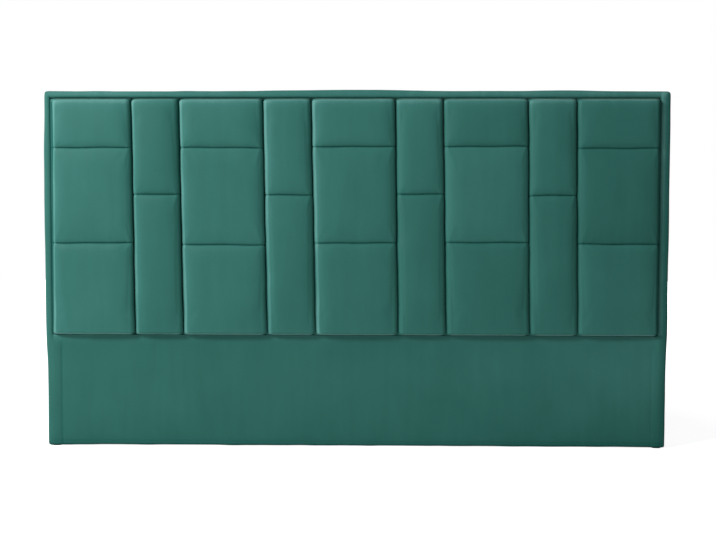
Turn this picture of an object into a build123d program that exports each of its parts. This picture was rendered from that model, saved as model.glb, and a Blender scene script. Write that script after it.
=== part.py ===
from build123d import *
import os

# An upholstered headboard for a king-size bed, standing on the floor. Nine padded
# velvet strips, five wide and four narrow, are screwed side by side onto a velvet
# covered base, and the base leaves a narrow border round them and a plain panel below.
# X runs to the viewer's right, Y from the front to the back, and Z up. The origin is
# on the floor, in the middle of the width and of the depth. Millimetres.

# Whole headboard, over the velvet
overall_width = 2000.0
overall_height = 1148.0

# Velvet, its fit over foam and wood, and how far it turns onto the back
velvet = 1.5
wrap_clearance = 0.3
back_turn = 38.0

# Timber frame: two stiles, three rails between them, and struts halved over the
# middle rail. The rails and the velvet between the feet stay clear of the floor.
timber_width = 45.0
timber_depth = 70.0
foot_lift = 2.0
halving_clearance = 0.2
corner_block_leg = 75.0
corner_block_thickness = 30.0

# Plywood sheet on the front of the frame
face_board_thickness = 5.0

# Border, from the outer edge to the middle of the groove beside the strips
left_border = 17.0
right_border = 31.5
top_border = 23.0
batten_width = 11.0
batten_depth = 11.0
edge_foam_thickness = 7.0
edge_radius = 8.0

# Plain panel below the strips, with a soft ridge down each side
lower_height = 365.0
lower_foam_thickness = 10.0
ridge_width = 38.0
ridge_slope = 17.0

# Strips: plywood, foam and a sewn velvet cover
wide_count = 5
narrow_strip = 154.0
groove = 1.0
strip_board_thickness = 9.0
strip_board_corner = 5.0
strip_edge_height = 34.0
strip_crown = 5.0
shoulder_radius = 14.0
end_radius = 9.0
side_draw = 1.5
outline_crossing = 0.5
strip_turn = 25.0

# Seams across the strips, measured down from the top of the strips
short_patch = 154.0
tall_patch = 306.0
narrow_patch = 304.0
seam_depth = 8.0
seam_roll = 15.0

# Sheet of dust cover on the back
dust_cover_thickness = 0.8
dust_cover_inset = 12.0

# Staples in the back, for the velvet's turned edge and for the dust cover
staple_wire = 0.7
staple_width = 1.2
staple_crown = 11.0
staple_leg = 8.0
velvet_staple_inset = 33.0
velvet_staple_spacing = 105.0
dust_staple_inset = 26.0
dust_staple_spacing = 85.0

# Screws that hold the strips, driven through the face board from behind
strip_screw_radius = 2.0
strip_screw_length = 16.0
strip_screw_head_radius = 4.0
strip_screw_head_height = 2.4
strip_screw_spread = 140.0
strip_screw_end = 70.0

# Screws that join the frame, two to a joint, with their heads sunk flush
frame_screw_radius = 2.25
frame_screw_length = 90.0
halving_screw_length = 55.0
frame_screw_head_radius = 4.25
frame_screw_head_height = 3.0
frame_screw_spread = 34.0

# Nails that hold the face board to the frame, with their heads sunk flush
board_nail_radius = 1.0
board_nail_length = 30.0
board_nail_head_radius = 2.2
board_nail_head_height = 1.0
board_nail_spacing = 210.0

# Threaded inserts in the back of the stiles, for the bolts of a bed frame
insert_bore_radius = 3.4
insert_barrel_radius = 5.0
insert_barrel_length = 11.0
insert_flange_radius = 8.0
insert_flange_thickness = 1.5
insert_edge = 14.0
insert_low = 180.0
insert_spacing = 60.0
bolt_hole_radius = 4.5
bolt_hole_depth = 45.0
bolt_cutout_radius = 6.0

# Plastic skids under the stiles, each with two nails sunk below its face
glide_height = 2.5
glide_width = 26.0
glide_corner = 8.0
glide_margin = 2.0
glide_nail_radius = 1.25
glide_nail_length = 22.0
glide_nail_head_radius = 3.0
glide_nail_head_height = 1.2
glide_nail_sink = 0.7
glide_nail_spread = 40.0

# Room round a fastener in its hole, and how far a cut runs past what it cuts
fastener_clearance = 0.1
overrun = 20.0

# Depths: the Y of each layer, with the front of the face board as reference plane
border_height = batten_depth + edge_foam_thickness + velvet
panel_height = lower_foam_thickness + velvet
front_stack = velvet + strip_edge_height + strip_crown
back_stack = face_board_thickness + timber_depth + velvet + dust_cover_thickness
back_stack += staple_wire + staple_wire
face_y = (front_stack - back_stack) / 2
strip_y = face_y - velvet
strip_board_y = strip_y - velvet
timber_front = face_y + face_board_thickness
timber_back = timber_front + timber_depth
timber_middle = timber_front + timber_depth / 2
velvet_back = timber_back + velvet
dust_front = velvet_back + staple_wire
dust_back = dust_front + dust_cover_thickness

# Frame inside the velvet
frame_side = overall_width / 2 - velvet
frame_top = overall_height - velvet
foot_z = glide_height + velvet
stile_inside = frame_side - timber_width
stile_centre = frame_side - timber_width / 2
top_rail_z = frame_top - timber_width
middle_rail_z = lower_height - timber_width / 2
bottom_rail_z = foot_z + foot_lift

# Field of the strips. Its wide strips share what the narrow ones leave.
left_groove = left_border - overall_width / 2
right_groove = overall_width / 2 - right_border
strips_top = overall_height - top_border
narrow_count = wide_count - 1
wide_strip = (right_groove - left_groove - narrow_count * narrow_strip) / wide_count
pitch = wide_strip + narrow_strip
wide_centres = [left_groove + wide_strip / 2 + n * pitch for n in range(wide_count)]
narrow_centres = [centre + pitch / 2 for centre in wide_centres[:-1]]
strut_centres = wide_centres[1:-1]
wide_seams = [strips_top - short_patch - tall_patch, strips_top - short_patch]
narrow_seams = [strips_top - narrow_patch]


def span_box(x, y, z, mode=Mode.ADD):
    """A box between two ends along each axis."""
    ends = (x, y, z)
    middle = [(low + high) / 2 for low, high in ends]
    with Locations(tuple(middle)):
        Box(*[high - low for low, high in ends], mode=mode)


def plan_plane(x, y, z):
    """Level sketch plane seen from below: its Y points out of the front."""
    return Plane(origin=(x, y, z), x_dir=(1, 0, 0), z_dir=(0, 0, -1))


def side_plane(x, y):
    """Upright sketch plane across the width: its X points up, its Y out of the front."""
    return Plane(origin=(x, y, 0), x_dir=(0, 0, 1), z_dir=(1, 0, 0))


def front_plane(y):
    """Upright sketch plane seen from the front: its X is the headboard's, its Y is up."""
    return Plane(origin=(0, y, 0), x_dir=(1, 0, 0), z_dir=(0, -1, 0))


def wood_plane(place, out, along=None):
    """Plane on a surface: its Z points out of it, and its X lies along the given way."""
    return Plane(origin=place, x_dir=along, z_dir=out)


def save(shape, name):
    """Writes one piece, or one group of like pieces, as parts/NAME.step."""
    shape.label = name
    export_step(shape, os.path.join("parts", name + ".step"))


def placed(unit, planes):
    """Copies of one piece, one on each plane."""
    with BuildPart() as group:
        with Locations(*planes):
            add(unit)
    return group.part


def nail(radius, length, head_radius, head_height, sunk, room=0):
    """A screw or nail that enters wood at the origin and points down, or its hole.

    A sunk head ends flush with the wood. Room is added all round for a hole.
    """
    below = (Align.CENTER, Align.CENTER, Align.MAX)
    above = (Align.CENTER, Align.CENTER, Align.MIN)
    with BuildPart() as piece:
        Cylinder(radius + room, length + room, align=below)
        if sunk:
            Cone(radius + room, head_radius + room, head_height, align=below)
        else:
            Cylinder(head_radius + room, head_height + room, align=above)
        if sunk and room:
            Cylinder(head_radius + room, overrun, align=above)
    return piece.part


def spaced(low, high, spacing):
    """Evenly spaced places between two ends, both ends included."""
    gaps = max(1, round((high - low) / spacing))
    return [low + (high - low) * n / gaps for n in range(gaps + 1)]


def base_form(inset):
    """Outer form of the covered base, drawn in by the inset all round."""
    side = overall_width / 2 - inset
    crest = border_height - inset
    panel = panel_height - inset
    valley = overall_width / 2 - ridge_width
    middle = valley + ridge_slope / 2
    brow = valley + ridge_slope
    rise = (panel + crest) / 2
    between_feet = stile_inside - velvet + inset
    with BuildPart() as form:
        span_box(
            (-side, side),
            (face_y - crest, velvet_back - inset),
            (glide_height + inset, overall_height - inset),
        )
        rounded = form.edges().group_by(Axis.Y)[0].sort_by(Axis.Z)[1:]
        rounded += form.edges().filter_by(Axis.Y).group_by(Axis.Z)[-1]
        fillet(rounded, edge_radius - inset)
        with BuildSketch(plan_plane(0, face_y, lower_height)):
            with BuildLine():
                Line((-valley, panel), (valley, panel))
                TangentArc((valley, panel), (middle, rise), tangent=(1, 0))
                TangentArc((brow, crest), (middle, rise), tangent=(-1, 0))
                Polyline(
                    (brow, crest),
                    (brow, crest + overrun),
                    (-brow, crest + overrun),
                    (-brow, crest),
                )
                TangentArc((-brow, crest), (-middle, rise), tangent=(1, 0))
                TangentArc((-valley, panel), (-middle, rise), tangent=(-1, 0))
            make_face()
        extrude(amount=lower_height, mode=Mode.SUBTRACT)
        span_box(
            (left_groove - groove / 2 - inset, right_groove + groove / 2 + inset),
            (face_y - crest - overrun, strip_y + inset),
            (lower_height - groove / 2 - inset, strips_top + groove / 2 + inset),
            mode=Mode.SUBTRACT,
        )
        span_box(
            (-between_feet, between_feet),
            (face_y - crest - overrun, velvet_back + overrun),
            (0, glide_height + foot_lift + inset),
            mode=Mode.SUBTRACT,
        )
    return form.part


def strip_form(width, seams, inset):
    """Outer form of a padded strip in the middle of the width, drawn in by the inset.

    It is what three outlines have in common. Where two of them would only touch, one
    stands outline_crossing clear of the other, so that they cross.
    """
    half = (width - groove) / 2 - inset
    low = lower_height + groove / 2 + inset
    high = strips_top - groove / 2 - inset
    edge = strip_edge_height - inset
    crest = edge + strip_crown
    shoulder = shoulder_radius - inset
    with BuildPart() as form:
        # Level section: flat back, upright sides, round shoulders and a crown
        with BuildSketch(plan_plane(0, strip_y, high + overrun)):
            with BuildLine():
                Polyline(
                    (half, edge - shoulder),
                    (half, inset),
                    (-half, inset),
                    (-half, edge - shoulder),
                )
                TangentArc((half, edge - shoulder), (half - shoulder, edge), tangent=(0, 1))
                ThreePointArc((half - shoulder, edge), (0, crest), (shoulder - half, edge))
                TangentArc((-half, edge - shoulder), (shoulder - half, edge), tangent=(0, 1))
            make_face()
        extrude(amount=high - low + 2 * overrun)
        # Side view: round ends, and a valley at each seam
        sky = crest + outline_crossing
        end = end_radius - inset + outline_crossing
        valley = crest - seam_depth
        with BuildSketch(side_plane(0, strip_y)):
            with BuildLine():
                Polyline((low, sky - end), (low, -overrun), (high, -overrun), (high, sky - end))
                TangentArc((low, sky - end), (low + end, sky), tangent=(0, 1))
                TangentArc((high, sky - end), (high - end, sky), tangent=(0, 1))
                for seam in seams:
                    TangentArc((seam - seam_roll, sky), (seam, valley), tangent=(1, 0))
                    TangentArc((seam + seam_roll, sky), (seam, valley), tangent=(-1, 0))
                starts = [low + end] + [seam + seam_roll for seam in seams]
                stops = [seam - seam_roll for seam in seams] + [high - end]
                for start, stop in zip(starts, stops):
                    Line((start, sky), (stop, sky))
            make_face()
        extrude(amount=half + overrun, both=True, mode=Mode.INTERSECT)
        # Front view: the sides are drawn in at the seams and the ends
        levels = [low] + seams + [high]
        with BuildSketch(front_plane(strip_y + overrun)):
            with BuildLine():
                drawn = half - side_draw
                Polyline(
                    (-drawn, low), (-drawn, low - overrun), (drawn, low - overrun), (drawn, low)
                )
                Polyline(
                    (-drawn, high),
                    (-drawn, high + overrun),
                    (drawn, high + overrun),
                    (drawn, high),
                )
                for start, stop in zip(levels[:-1], levels[1:]):
                    between = (start + stop) / 2
                    for bulge in (-half - outline_crossing, half + outline_crossing):
                        side = drawn if bulge > 0 else -drawn
                        ThreePointArc((side, start), (bulge, between), (side, stop))
            make_face()
        extrude(amount=crest + 2 * overrun, mode=Mode.INTERSECT)
    return form.part


os.makedirs("parts", exist_ok=True)

# Ways that a surface can face, and the two ways across the width
LEFT_AND_RIGHT = (-1, 1)
FRONT = (0, -1, 0)
BACK = (0, 1, 0)
UP = (0, 0, 1)
DOWN = (0, 0, -1)
SIDEWAYS = (1, 0, 0)

# Levels of the strip screws: near both ends of a strip, and halfway between them
screw_spacing = (strips_top - lower_height) / 2 - strip_screw_end
screw_levels = spaced(
    lower_height + strip_screw_end, strips_top - strip_screw_end, screw_spacing
)
wide_offsets = [way * strip_screw_spread / 2 for way in LEFT_AND_RIGHT]
strip_screw = (strip_screw_radius, strip_screw_length)
strip_screw += (strip_screw_head_radius, strip_screw_head_height, False)
wide_screw_planes = [
    wood_plane((x, timber_front, z), BACK) for x in wide_offsets for z in screw_levels
]
narrow_screw_planes = [wood_plane((0, timber_front, z), BACK) for z in screw_levels]
strip_screw_planes = [
    wood_plane((centre + x, timber_front, z), BACK)
    for centres, offsets in ((wide_centres, wide_offsets), (narrow_centres, [0]))
    for centre in centres
    for x in offsets
    for z in screw_levels
]
strip_screw_hole = nail(*strip_screw, fastener_clearance)
strip_screw_holes = placed(strip_screw_hole, strip_screw_planes)

# Frame screws: rails from outside the stiles, struts from above and below, and one
# from behind into each halving
screw_rows = [timber_middle + way * frame_screw_spread / 2 for way in LEFT_AND_RIGHT]
rail_levels = [z + timber_width / 2 for z in (top_rail_z, middle_rail_z, bottom_rail_z)]
stile_screw_planes = [
    wood_plane((way * frame_side, y, z), (way, 0, 0))
    for way in LEFT_AND_RIGHT
    for y in screw_rows
    for z in rail_levels
]
strut_screw_planes = [
    wood_plane((x, y, z), out)
    for z, out in ((frame_top, UP), (bottom_rail_z, DOWN))
    for x in strut_centres
    for y in screw_rows
]
halving_screw_planes = [
    wood_plane((x, timber_back, middle_rail_z + timber_width / 2), BACK)
    for x in strut_centres
]
frame_head = (frame_screw_head_radius, frame_screw_head_height, True)
frame_screw = (frame_screw_radius, frame_screw_length) + frame_head
halving_screw = (frame_screw_radius, halving_screw_length) + frame_head
frame_screw_hole = nail(*frame_screw, fastener_clearance)
stile_screw_holes = placed(frame_screw_hole, stile_screw_planes)
strut_screw_holes = placed(frame_screw_hole, strut_screw_planes)
halving_screw_holes = placed(nail(*halving_screw, fastener_clearance), halving_screw_planes)

# Face board nails: down the stiles, and along the rails
stile_nail_levels = spaced(bottom_rail_z + timber_width, top_rail_z, board_nail_spacing)
board_nail_planes = [
    wood_plane((way * stile_centre, face_y, z), FRONT)
    for way in LEFT_AND_RIGHT
    for z in stile_nail_levels
]
board_nail_planes += [
    wood_plane((x, face_y, z), FRONT)
    for z in rail_levels
    for x in spaced(-wide_centres[-1], wide_centres[-1], board_nail_spacing)
]
board_nail = (board_nail_radius, board_nail_length)
board_nail += (board_nail_head_radius, board_nail_head_height, True)
board_nail_holes = placed(nail(*board_nail, fastener_clearance), board_nail_planes)

# Skids under the stiles, and the nails sunk into them
glide_front = face_y - batten_depth + glide_margin
glide_back = timber_back - glide_margin
glide_middle = (glide_front + glide_back) / 2
glide_nail_planes = [
    wood_plane(
        (across * stile_centre, glide_middle + along * glide_nail_spread / 2, glide_nail_sink),
        DOWN,
    )
    for across in LEFT_AND_RIGHT
    for along in LEFT_AND_RIGHT
]
glide_nail = (glide_nail_radius, glide_nail_length)
glide_nail += (glide_nail_head_radius, glide_nail_head_height, True)
glide_nail_holes = placed(nail(*glide_nail, fastener_clearance), glide_nail_planes)

# Threaded inserts in the back of the stiles, and what is cut for their bolts
into_wood = (Align.CENTER, Align.CENTER, Align.MAX)
out_of_wood = (Align.CENTER, Align.CENTER, Align.MIN)
insert_length = insert_flange_thickness + insert_barrel_length
insert_planes = [
    wood_plane((way * (frame_side - insert_edge), timber_back, z), BACK)
    for way in LEFT_AND_RIGHT
    for z in (insert_low, insert_low + insert_spacing)
]
with BuildPart() as insert_socket:
    Cylinder(
        insert_flange_radius + fastener_clearance, insert_flange_thickness, align=into_wood
    )
    Cylinder(insert_barrel_radius + fastener_clearance, insert_length, align=into_wood)
    Cylinder(bolt_hole_radius, bolt_hole_depth, align=into_wood)
with BuildPart() as bolt_insert:
    Cylinder(insert_flange_radius, insert_flange_thickness, align=into_wood)
    Cylinder(insert_barrel_radius, insert_length, align=into_wood)
    Cylinder(insert_bore_radius, insert_length, align=into_wood, mode=Mode.SUBTRACT)
with BuildPart() as bolt_cutout:
    Cylinder(bolt_cutout_radius, overrun, align=out_of_wood)
insert_sockets = placed(insert_socket.part, insert_planes)
bolt_cutouts = placed(bolt_cutout.part, insert_planes)
save(placed(bolt_insert.part, insert_planes), "bolt_inserts")

# Stiles, rounded at the top outer corner like the velvet over them
for way, name in zip(LEFT_AND_RIGHT, ("left_stile", "right_stile")):
    ends = sorted((way * stile_inside, way * frame_side))
    with BuildPart() as stile:
        span_box(ends, (timber_front, timber_back), (foot_z, frame_top))
        corner = stile.edges().filter_by(Axis.Y).group_by(Axis.Z)[-1].sort_by(Axis.X)
        fillet(corner[0 if way < 0 else -1], edge_radius)
        add(stile_screw_holes, mode=Mode.SUBTRACT)
        add(board_nail_holes, mode=Mode.SUBTRACT)
        add(glide_nail_holes, mode=Mode.SUBTRACT)
        add(insert_sockets, mode=Mode.SUBTRACT)
    save(stile.part, name)

# Rails between the stiles. The middle one is notched at the front for the struts.
notch = timber_width / 2 + halving_clearance
halving_y = timber_middle + halving_clearance / 2
for low, name in (
    (top_rail_z, "top_rail"),
    (middle_rail_z, "middle_rail"),
    (bottom_rail_z, "bottom_rail"),
):
    high = low + timber_width
    with BuildPart() as rail:
        span_box((-stile_inside, stile_inside), (timber_front, timber_back), (low, high))
        if name == "middle_rail":
            for x in strut_centres:
                span_box(
                    (x - notch, x + notch),
                    (timber_front, halving_y),
                    (low, high),
                    mode=Mode.SUBTRACT,
                )
            add(halving_screw_holes, mode=Mode.SUBTRACT)
        else:
            add(strut_screw_holes, mode=Mode.SUBTRACT)
        add(stile_screw_holes, mode=Mode.SUBTRACT)
        add(board_nail_holes, mode=Mode.SUBTRACT)
    save(rail.part, name)

# Struts between the top and bottom rails, notched at the back over the middle rail
for x, name in zip(strut_centres, ("left_strut", "centre_strut", "right_strut")):
    ends = (x - timber_width / 2, x + timber_width / 2)
    with BuildPart() as strut:
        span_box(
            ends, (timber_front, timber_back), (bottom_rail_z + timber_width, top_rail_z)
        )
        span_box(
            ends,
            (halving_y - halving_clearance, timber_back),
            (
                middle_rail_z - halving_clearance,
                middle_rail_z + timber_width + halving_clearance,
            ),
            mode=Mode.SUBTRACT,
        )
        add(strut_screw_holes, mode=Mode.SUBTRACT)
        add(halving_screw_holes, mode=Mode.SUBTRACT)
        add(board_nail_holes, mode=Mode.SUBTRACT)
    save(strut.part, name)

# Triangular blocks glued into the corners of the frame
with BuildPart() as corner_blocks:
    for across in LEFT_AND_RIGHT:
        for corner_z, up in ((top_rail_z, -1), (bottom_rail_z + timber_width, 1)):
            corner_x = across * stile_inside
            with BuildSketch(front_plane(timber_middle + corner_block_thickness / 2)):
                with BuildLine():
                    Polyline(
                        (corner_x, corner_z),
                        (corner_x - across * corner_block_leg, corner_z),
                        (corner_x, corner_z + up * corner_block_leg),
                        close=True,
                    )
                make_face()
            extrude(amount=corner_block_thickness)
save(corner_blocks.part, "corner_blocks")

# Plywood sheet on the front of the frame
with BuildPart() as face_board:
    span_box(
        (-frame_side, frame_side), (face_y, timber_front), (bottom_rail_z, frame_top)
    )
    fillet(face_board.edges().filter_by(Axis.Y).group_by(Axis.Z)[-1], edge_radius)
    add(strip_screw_holes, mode=Mode.SUBTRACT)
    add(board_nail_holes, mode=Mode.SUBTRACT)
save(face_board.part, "face_board")

# Battens on the front of the sheet, round the border and down to the feet
batten_front = face_y - batten_depth
with BuildPart() as battens:
    for way in LEFT_AND_RIGHT:
        ends = sorted((way * frame_side, way * (frame_side - batten_width)))
        span_box(ends, (batten_front, face_y), (foot_z, frame_top - batten_width))
save(battens.part.solids().sort_by(Axis.X)[0], "left_border_batten")
save(battens.part.solids().sort_by(Axis.X)[-1], "right_border_batten")
with BuildPart() as top_batten:
    span_box(
        (-frame_side, frame_side),
        (batten_front, face_y),
        (frame_top - batten_width, frame_top),
    )
    fillet(top_batten.edges().filter_by(Axis.Y).group_by(Axis.Z)[-1], edge_radius)
save(top_batten.part, "top_border_batten")

# Foam over the battens: it rounds the border, and slopes down beside the lower panel
edge_x = overall_width / 2
valley_x = edge_x - ridge_width
top_foam_z = strips_top + groove / 2 + velvet + wrap_clearance
with BuildPart() as padding:
    add(base_form(velvet + wrap_clearance))
    add(battens.part, mode=Mode.SUBTRACT)
    add(top_batten.part, mode=Mode.SUBTRACT)
for name, across, up in (
    ("left_edge_foam", (-edge_x, -valley_x), (0, top_foam_z)),
    ("right_edge_foam", (valley_x, edge_x), (0, top_foam_z)),
    ("top_edge_foam", (-edge_x, edge_x), (top_foam_z, overall_height)),
    ("lower_foam", (-valley_x, valley_x), (0, lower_height)),
):
    with BuildPart() as foam:
        add(padding.part)
        span_box(across, (face_y - border_height, face_y), up, mode=Mode.INTERSECT)
    save(foam.part, name)

# Velvet cover of the base, turned onto the back all round
turned = overall_width / 2 - back_turn
with BuildPart() as base_cover:
    add(base_form(0))
    add(base_form(velvet), mode=Mode.SUBTRACT)
    span_box(
        (-turned, turned),
        (timber_back, velvet_back),
        (glide_height + back_turn, overall_height - back_turn),
        mode=Mode.SUBTRACT,
    )
    add(strip_screw_holes, mode=Mode.SUBTRACT)
    add(glide_nail_holes, mode=Mode.SUBTRACT)
    add(bolt_cutouts, mode=Mode.SUBTRACT)
save(base_cover.part, "base_cover")


def strip_pieces(width, seams, screw_planes):
    """Board, foam and cover of one strip that stands in the middle of the width."""
    inside = velvet + wrap_clearance
    half = width / 2
    board_half = half - groove / 2 - inside - side_draw
    rim = groove / 2 + inside
    board_front = strip_board_y - strip_board_thickness
    with BuildPart() as board:
        span_box(
            (-board_half, board_half),
            (board_front, strip_board_y),
            (lower_height + rim, strips_top - rim),
        )
        fillet(board.edges().filter_by(Axis.Y), strip_board_corner)
        add(placed(strip_screw_hole, screw_planes), mode=Mode.SUBTRACT)
    with BuildPart() as foam:
        add(strip_form(width, seams, inside))
        span_box(
            (-half, half),
            (board_front, strip_y),
            (lower_height, strips_top),
            mode=Mode.SUBTRACT,
        )
    with BuildPart() as cover:
        add(strip_form(width, seams, 0))
        add(strip_form(width, seams, velvet), mode=Mode.SUBTRACT)
        span_box(
            (strip_turn - half, half - strip_turn),
            (strip_board_y, strip_y),
            (lower_height + strip_turn, strips_top - strip_turn),
            mode=Mode.SUBTRACT,
        )
    return {"board": board.part, "foam": foam.part, "cover": cover.part}


# Strips, numbered from the viewer's left: wide ones are odd and narrow ones even
kinds = (
    (1, wide_centres, strip_pieces(wide_strip, wide_seams, wide_screw_planes)),
    (2, narrow_centres, strip_pieces(narrow_strip, narrow_seams, narrow_screw_planes)),
)
for first, centres, pieces in kinds:
    for place, centre in enumerate(centres):
        for kind, piece in pieces.items():
            name = f"strip_{kind}_{first + 2 * place}"
            save(placed(piece, [Location((centre, 0, 0))]), name)

# Dust cover on the back, with round openings at the inserts
dust_half = overall_width / 2 - dust_cover_inset
with BuildPart() as dust_cover:
    span_box(
        (-dust_half, dust_half),
        (dust_front, dust_back),
        (bottom_rail_z + dust_cover_inset, overall_height - dust_cover_inset),
    )
    add(bolt_cutouts, mode=Mode.SUBTRACT)
save(dust_cover.part, "dust_cover")

# Staples round the back: upright down the sides, level along the top and the bottom
with BuildPart() as staple:
    Box(staple_crown, staple_width, staple_wire, align=out_of_wood)
    with Locations(
        (-(staple_crown - staple_wire) / 2, 0), ((staple_crown - staple_wire) / 2, 0)
    ):
        Box(staple_wire, staple_width, staple_leg, align=into_wood)


def staple_planes(inset, spacing, seat_y):
    """Places of the staples that lie this far inside the outer edge of the back."""
    reach = overall_width / 2 - inset
    low = glide_height + inset
    high = overall_height - inset
    upright = [
        wood_plane((way * reach, seat_y, z), BACK, UP)
        for way in LEFT_AND_RIGHT
        for z in spaced(low + spacing / 2, high - spacing / 2, spacing)
    ]
    level = [
        wood_plane((x, seat_y, z), BACK, SIDEWAYS)
        for z in (low, high)
        for x in spaced(spacing / 2 - reach, reach - spacing / 2, spacing)
    ]
    return upright + level


cover_planes = staple_planes(velvet_staple_inset, velvet_staple_spacing, velvet_back)
dust_planes = staple_planes(dust_staple_inset, dust_staple_spacing, dust_back)
save(placed(staple.part, cover_planes), "cover_staples")
save(placed(staple.part, dust_planes), "dust_cover_staples")

# Screws and nails
with BuildPart() as frame_screws:
    add(placed(nail(*frame_screw), stile_screw_planes + strut_screw_planes))
    add(placed(nail(*halving_screw), halving_screw_planes))
save(frame_screws.part, "frame_screws")
save(placed(nail(*strip_screw), strip_screw_planes), "strip_screws")
save(placed(nail(*board_nail), board_nail_planes), "face_board_nails")
save(placed(nail(*glide_nail), glide_nail_planes), "glide_nails")

# Skids, each a rounded plate
with BuildPart() as floor_glides:
    with BuildSketch(Plane.XY):
        with Locations(*[(way * stile_centre, glide_middle) for way in LEFT_AND_RIGHT]):
            RectangleRounded(glide_width, glide_back - glide_front, glide_corner)
    extrude(amount=glide_height)
    add(glide_nail_holes, mode=Mode.SUBTRACT)
save(floor_glides.part, "floor_glides")
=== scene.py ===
# Upholstered headboard in green velvet: nine padded strips on a covered base

import math

import bpy
import numpy as np
from mathutils import Matrix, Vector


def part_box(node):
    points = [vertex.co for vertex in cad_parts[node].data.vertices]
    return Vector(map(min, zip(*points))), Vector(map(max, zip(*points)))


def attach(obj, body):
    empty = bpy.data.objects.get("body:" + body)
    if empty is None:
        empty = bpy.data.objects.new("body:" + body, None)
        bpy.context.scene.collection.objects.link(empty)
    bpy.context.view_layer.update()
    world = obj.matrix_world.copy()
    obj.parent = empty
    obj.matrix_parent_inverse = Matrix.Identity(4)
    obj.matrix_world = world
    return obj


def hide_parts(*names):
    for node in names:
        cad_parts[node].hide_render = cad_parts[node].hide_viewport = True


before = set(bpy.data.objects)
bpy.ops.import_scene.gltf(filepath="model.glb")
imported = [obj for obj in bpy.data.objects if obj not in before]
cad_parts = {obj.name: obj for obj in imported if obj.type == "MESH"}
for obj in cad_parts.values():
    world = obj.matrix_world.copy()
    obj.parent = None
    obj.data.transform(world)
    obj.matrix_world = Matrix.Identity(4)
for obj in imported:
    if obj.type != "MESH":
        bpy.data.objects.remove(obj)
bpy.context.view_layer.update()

scene = bpy.context.scene

# Sizes in metres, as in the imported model
half_width = 1.0
top_edge = 1.148
cover_back = 0.0574
cover_foot = 0.0025
feet_inside = 0.952
border_front = -0.0386
panel_front = -0.0306
pocket_floor = -0.0206
pocket_right = 0.9685
pocket_low = 0.365
pocket_top = 1.125
edge_round = 0.008
bead_fall = 0.010
base_turn = 0.038
strip_front = -0.0556
strip_shoulder = 0.018
strip_end = 0.010
strip_fall = 0.014
strip_turn = 0.025
fold_round = 0.0015
wide_seams = [0.665, 0.971]
narrow_seams = [0.821]
insert_sides = (-0.9845, 0.9845)
insert_levels = (0.18, 0.24)

# Sizes that follow the photograph more closely. The mouths are how far the strips' fronts stand
# back from each other, from the border above and from the panel below, and top_groove is how far
# the lighter floor of the top groove reaches down.
pocket_left = -0.979
between_feet_lift = 0.0004
hem_height = 0.0165
groove_mouth = 0.0034
top_mouth = 0.0048
foot_mouth = 0.0020
top_groove = -0.009

# Places of the ten grooves, in the photograph, near the top and the foot of the strips
groove_high = 1.108
groove_tops = [-0.9722, -0.7184, -0.5662, -0.2973, -0.1422, 0.1260, 0.2780, 0.5481, 0.7023, 0.9671]
groove_low = 0.383
groove_feet = [-0.9778, -0.7094, -0.5527, -0.2825, -0.1264, 0.1384, 0.2924, 0.5596, 0.7128, 0.9700]

# How far each strip's seams sit above or below their packed height, from the bottom seam up
seam_shifts = {
    1: (-0.0037, -0.0054), 2: (-0.0040,), 3: (-0.0090, -0.0052), 4: (-0.0050,),
    5: (-0.0025, -0.0017), 6: (-0.0021,), 7: (0.0, -0.0008), 8: (-0.0060,), 9: (-0.0045, -0.0062),
}

# Relief of the strips' velvet. Each valley has its reach and its depth: one before the cloth is
# blown up, and a wide and a sharp one sewn into it afterwards.
crown_height = 0.0048
crown_side_reach = 0.022
crown_end_reach = 0.020
first_valley = (0.016, 0.0030)
wide_valley = (0.022, 0.0028)
sharp_valley = (0.006, 0.0026)
stitch_width = 0.0016
seam_wander = 0.0008
groove_wander = 0.0006
gather_length = 0.034
gather_height = 0.00035
gather_reach = 0.016
drape_length = 0.13
drape_height = 0.00045
strip_corner = 0.004
mouth_reach = 0.04

# Relief of the base's velvet
left_bead = 0.009
right_bead = 0.010
top_bead = 0.014
right_roll = 0.0026
top_roll = 0.0024
panel_bulge = 0.0022
hem_ridge = 0.0005
left_swell = 0.0045
right_swell = 0.0028
middle_rise = 0.0048
right_rise = 0.0025
corner_rise = 0.0044
base_corner = 0.003

# Spacing of the covers' grids
strip_column_step = 0.0085
strip_row_step = 0.0088
strip_rim_step = 0.0022
base_column_step = 0.0125
panel_row_step = 0.0095
border_row_step = 0.03
dust_step = 0.011


# Camera at the photograph's place and angle

def add_camera():
    """The photograph's camera, a long lens a little right of the middle."""
    lens = bpy.data.cameras.new("camera")
    lens.sensor_width = 36.0
    lens.lens = 50.28
    camera = bpy.data.objects.new("camera", lens)
    scene.collection.objects.link(camera)
    turn = Matrix.Rotation(math.radians(0.83), 4, "Z")
    tilt = Matrix.Rotation(math.radians(90 - 2.83), 4, "X")
    roll = Matrix.Rotation(math.radians(0.11), 4, "Z")
    camera.matrix_world = Matrix.Translation((0.054, -3.2487, 0.7349)) @ turn @ tilt @ roll
    scene.camera = camera


# Node trees, for materials and for geometry

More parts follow.
